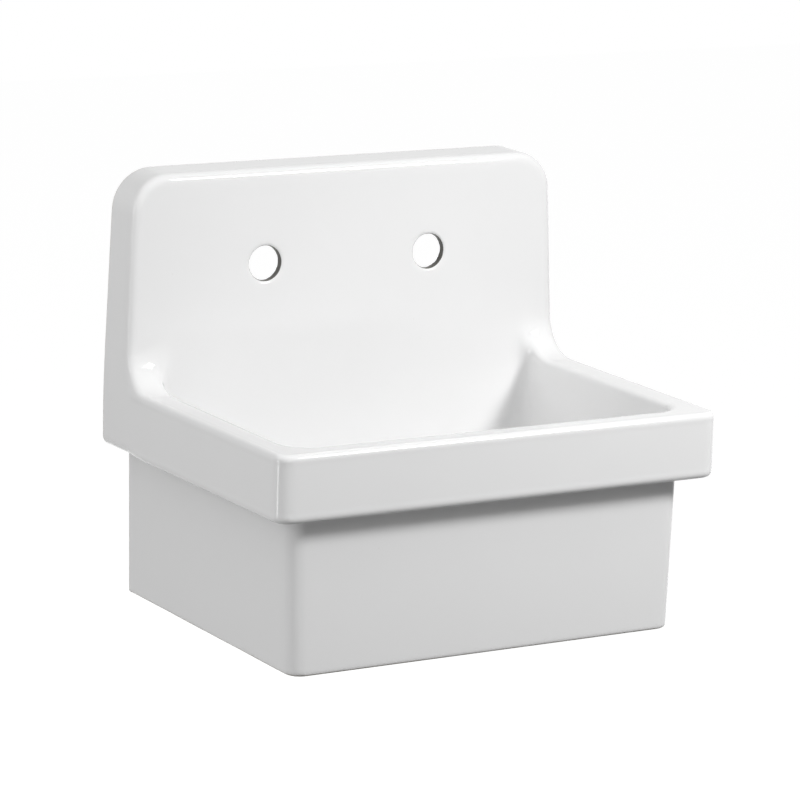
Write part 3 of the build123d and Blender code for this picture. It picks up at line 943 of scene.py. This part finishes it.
class SINK_OT_basket(Operator):
    """Make the lift-out basket and the bush in its middle"""

    bl_idname = "sink.basket"
    bl_label = "Basket"

    def ring_of_punches(self, place, depth, count, turned=(0.0, 0.0, 0.0)):
        """Round punches for one ring of holes."""
        radius = 2.2
        bpy.ops.object.select_all(action="DESELECT")
        bpy.ops.mesh.primitive_cylinder_add(
            vertices=20, radius=radius * MM, depth=depth * MM,
            location=DRAIN + Vector(place) * MM, rotation=turned,
        )
        bpy.ops.object.transform_apply()
        return in_ring(bpy.context.object, count, DRAIN)

    def punches(self):
        """Punches for three rings of holes in the floor, one row in the side and the middle hole."""
        rings = ((13, 8), (21, 14), (29, 20))
        floor = [self.ring_of_punches((radius, 0, -188), 6, count) for radius, count in rings]
        side = self.ring_of_punches((36, 0, -177.7), 9, 18, (0.0, math.radians(90), 0.0))
        middle = turn("middle", [(0, -191), (4.6, -191), (4.6, -185), (0, -185)], segments=40)
        return joined(*floor, side, middle)

    def execute(self, context):
        section = [
            (0, BASKET_FOOT), (34.8, BASKET_FOOT, 2.5), (37.8, -166.9, 0.8), (39.4, -166.7, 0.3),
            (40.25, -166.2, 0.4), (39.9, -165.5, 0.5), (37.4, -165.6, 1.0), (36.5, -167.4, 1.0),
            (33.5, BASKET_FLOOR, 2.0), (0, BASKET_FLOOR),
        ]
        cup = cut(turn("pressed_basket", section, segments=120), self.punches())
        dressed(cup, "basket", "basket")
        bush = [
            (2.56, BASKET_FOOT, 0.3), (4.56, BASKET_FOOT, 0.2), (4.56, BASKET_FLOOR),
            (7.06, BASKET_FLOOR, 0.3), (7.06, -186.0, 0.5), (4.56, -186.0, 0.5), (4.4, -173.7, 0.5),
            (2.56, -173.7, 0.3),
        ]
        dressed(turn("guide_bush", bush, segments=48), "post_guide", "basket")
        return {"FINISHED"}


class SINK_OT_stopper(Operator):
    """Make the stopper: knob, post, disc, washer and clip"""

    bl_idname = "sink.stopper"
    bl_label = "Stopper"

    def clip(self):
        """Split ring in the post's groove."""
        ring = [(2.55, -200.7), (5, -200.7, 0.2), (5, -199.7, 0.2), (2.55, -199.7)]
        low, high = DRAIN / MM + Vector((1, -1.6, -202)), DRAIN / MM + Vector((6, 1.6, -198))
        clip = turn("split_clip", ring, segments=48)
        return cut(clip, block("gap", low, high, 0.5))

    def execute(self, context):
        knob = [
            (2.55, -173.4, 0.3), (5.9, -173.4, 0.6), (6.0, -169.2, 2.0), (9.8, -164.6, 2.0),
            (10.0, -161.2, 1.4), (8.6, -159.45, 1.4), (0, -159.8), (0, POST_TOP), (2.55, POST_TOP),
        ]
        dressed(turn("pull_knob", knob, segments=72, steps=6), "stopper_knob", "stopper")
        post = [
            (0, -208.7), (2.1, -208.7, 0.2), (2.5, -208.0, 0.3), (2.5, -200.8, 0.1), (2.1, -200.7),
            (2.1, -199.7), (2.5, -199.6), (2.5, POST_TOP), (0, POST_TOP),
        ]
        dressed(turn("turned_post", post, segments=40), "stopper_post", "stopper")
        disc = [
            (2.55, -199.4, 0.3), (19, -199.4, 0.6), (20, -199.7, 0.5), (25.4, -199.7, 1.0),
            (27, -198.0, 1.5), (26.6, -195.9, 0.8), (24.5, DISC_TOP, 0.8), (17.8, DISC_TOP, 0.4),
            (17.3, -195.8, 0.4), (14.7, -195.8, 0.4), (14.2, DISC_TOP, 0.4), (2.55, DISC_TOP, 0.2),
        ]
        dressed(turn("rubber_disc", disc), "stopper_disc", "stopper")
        washer = [(2.55, DISC_TOP, 0.1), (12, DISC_TOP, 0.15), (12, -194.2, 0.6), (2.55, -194.2, 0.2)]
        dressed(turn("post_washer", washer, segments=64), "stopper_washer", "stopper")
        dressed(self.clip(), "stopper_clip", "stopper")
        return {"FINISHED"}


class SINK_OT_studio(Operator):
    """Place the floor, the lamps and the camera"""

    bl_idname = "sink.studio"
    bl_label = "Studio"

    def seen(self, shader):
        """1 for what the camera sees straight, in a reflection or through glass."""
        straight, mirrored, through = [
            shader.node("ShaderNodeLightPath", output=f"Is {kind} Ray")
            for kind in ("Camera", "Glossy", "Transmission")
        ]
        return straight.largest(mirrored).largest(through)

    def floor(self, look):
        """A white floor that lies below the sink, keeps its shadow and throws little light back."""
        size, glow = 16.0, 0.98
        bpy.ops.object.select_all(action="DESELECT")
        bpy.ops.mesh.primitive_plane_add(size=size, location=(0, 0, -look.drop))
        floor = named(bpy.context.object, "floor")
        bpy.ops.object.transform_apply()
        material, shader = new_material("floor")
        paint = shader.node("ShaderNodeBsdfDiffuse", {"Color": (look.floor, look.floor, look.floor, 1.0)})
        white = shader.node("ShaderNodeEmission", {"Color": WHITE, "Strength": glow})
        both = shader.node("ShaderNodeAddShader", {0: paint, 1: white})
        surface = shader.node("ShaderNodeMixShader", {0: self.seen(shader), 1: paint, 2: both})
        shader.made("ShaderNodeOutputMaterial", {"Surface": surface})
        floor.data.materials.append(material)

    def world(self, look):
        """White all round where it is seen, and a faint even light where it isn't."""
        world = bpy.data.worlds.new("studio")
        bpy.context.scene.world = world
        world.use_nodes = True
        shader = Shader(world.node_tree)
        plain = shader.node("ShaderNodeBackground", {"Color": WHITE, "Strength": look.around})
        white = shader.node("ShaderNodeBackground", {"Color": WHITE, "Strength": 1.0})
        surface = shader.node("ShaderNodeMixShader", {0: self.seen(shader), 1: plain, 2: white})
        shader.made("ShaderNodeOutputWorld", {"Surface": surface})

    def lamp(self, name, power, towards, distance, size, mirrored=False):
        """A lamp that looks at the sink from a direction, and is mirrored in the glaze or not."""
        aim = Vector((0.0, -0.2, 0.0))
        data = bpy.data.lights.new(name, "AREA")
        data.shape = "RECTANGLE"
        data.size, data.size_y = size
        data.energy = power
        lamp = bpy.data.objects.new(name, data)
        lamp.visible_glossy = mirrored
        bpy.context.scene.collection.objects.link(lamp)
        towards = Vector(towards).normalized()
        lamp.rotation_euler = towards.to_track_quat("Z", "Y").to_euler()
        lamp.location = aim + towards * distance

    def camera(self):
        """The place and lens that show the sink as the photograph does."""
        data = bpy.data.cameras.new("camera")
        camera = bpy.data.objects.new("camera", data)
        bpy.context.scene.collection.objects.link(camera)
        right = Vector((0.8688, -0.4946, 0.0253))
        up = Vector((0.0842, 0.1979, 0.9766))
        ahead = Vector((0.4880, 0.8463, -0.2136))
        place = Matrix.Translation((-2.0238, -3.6849, 0.8766))
        turned = Matrix((right, up, -ahead)).transposed().to_4x4()
        camera.matrix_world = place @ turned
        data.sensor_width = 36.0
        data.lens = 173.83
        bpy.context.scene.camera = camera

    def execute(self, context):
        look = context.scene.sink_studio
        self.floor(look)
        self.world(look)
        self.lamp("key_lamp", look.key, (0.46, -0.69, 0.58), 2.2, (0.5, 0.5), mirrored=True)
        self.lamp("strip_lamp", look.strip, (-1.0, 0.0, 0.05), 2.6, (0.4, 1.8), mirrored=True)
        self.lamp("side_lamp", look.side, (-0.9, -0.4, 0.1), 2.6, (2.2, 2.2))
        self.lamp("upper_lamp", look.above, (-0.7, 0.0, 0.7), 2.6, (2.2, 2.2))
        self.lamp("front_lamp", look.front, (0.0, -0.7, 0.7), 2.6, (2.2, 2.2))
        self.lamp("back_lamp", look.back, (0.0, 1.0, -0.12), 2.4, (1.2, 1.2))
        self.camera()
        context.scene.view_settings.view_transform = "Standard"
        return {"FINISHED"}


class VIEW3D_PT_sink(Panel):
    """The steps that make the sink, in order, and the values they use"""

    bl_space_type = "VIEW_3D"
    bl_region_type = "UI"
    bl_category = "Sink"
    bl_label = "Sink"

    def draw(self, context):
        for group in GROUPS:
            values = getattr(context.scene, GROUPS[group])
            box = self.layout.box()
            for name in group.__annotations__:
                box.prop(values, name)
        for operator in OPERATORS:
            self.layout.operator(operator.bl_idname)


GROUPS = {
    SinkChina: "sink_china",
    SinkMetal: "sink_metal",
    SinkSoft: "sink_soft",
    SinkStudio: "sink_studio",
}
OPERATORS = (
    SINK_OT_studio,
    SINK_OT_china,
    SINK_OT_hanger,
    SINK_OT_anchors,
    SINK_OT_drain,
    SINK_OT_outlet,
    SINK_OT_basket,
    SINK_OT_stopper,
)
CLASSES = (*GROUPS, *OPERATORS, VIEW3D_PT_sink)


def register():
    for cls in CLASSES:
        bpy.utils.register_class(cls)
    for group, name in GROUPS.items():
        setattr(bpy.types.Scene, name, PointerProperty(type=group))


def unregister():
    for name in GROUPS.values():
        delattr(bpy.types.Scene, name)
    for cls in reversed(CLASSES):
        bpy.utils.unregister_class(cls)


def main():
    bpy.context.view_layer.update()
    register()
    for operator in OPERATORS:
        group, name = operator.bl_idname.split(".")
        getattr(getattr(bpy.ops, group), name)()


if __name__ == "__main__":
    main()
